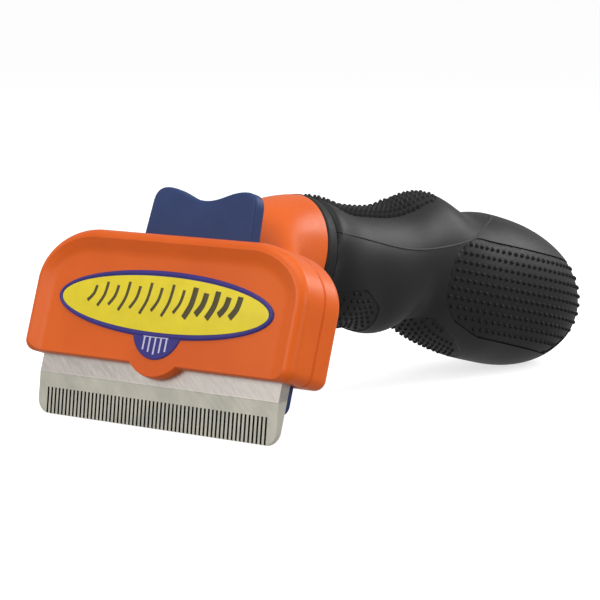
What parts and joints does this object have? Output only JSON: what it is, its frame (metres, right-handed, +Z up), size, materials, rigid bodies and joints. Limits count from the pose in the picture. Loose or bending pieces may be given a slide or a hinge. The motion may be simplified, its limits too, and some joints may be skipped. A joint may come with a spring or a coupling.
{
  "type": "deshedding tool",
  "caption": "Hand-held pet deshedding comb: steel comb blade in a two-shell casing, spring-return hair ejector with a thumb button, and a soft-gripped handle.",
  "frame": {"origin": "middle of the footprint, on the table that the comb tips and the butt touch", "axes": "+Y from the comb back along the handle to the butt, +Z up, X along the comb's edge"},
  "size_m": [0.0756, 0.1468, 0.0488],
  "materials": {
    "orange_plastic": "satin",
    "blade_steel": "brushed",
    "badge_print": "gloss",
    "screw_steel": "zinc plated",
    "blue_plastic": "satin",
    "spring_steel": "drawn wire",
    "guide_plastic": "matte",
    "black_rubber": "matte",
    "handle_skin": "satin soft touch",
    "pad_rubber": "matte"
  },
  "bodies": {
    "tool": {"front_casing": "orange_plastic", "rear_casing": "orange_plastic", "comb_blade": "blade_steel", "badge": "badge_print", "casing_screws": "screw_steel", "return_spring_right": "spring_steel", "return_spring_left": "spring_steel", "spring_guides": "guide_plastic", "stop_bumpers": "black_rubber", "neck_collar": "black_rubber", "saddle_screws": "screw_steel", "tang_screws": "screw_steel", "handle_body": "handle_skin", "handle_saddle": "handle_skin", "thumb_pad": "pad_rubber", "finger_pad": "pad_rubber", "belly_pad": "pad_rubber", "palm_pad_right": "pad_rubber", "palm_pad_left": "pad_rubber"},
    "ejector": {"ejector_plate": "blue_plastic", "ejector_button": "blue_plastic", "button_rivets": "screw_steel"}
  },
  "joints": [
    {"name": "ejector_slide", "type": "slide", "parent": "tool", "child": "ejector", "axis": [0, -0.294, -0.9558], "range_m": [0, 0.0066], "stiffness_N_per_m": 500, "springref_m": -0.003, "deforming": ["return_spring_right", "return_spring_left"]}
  ]
}
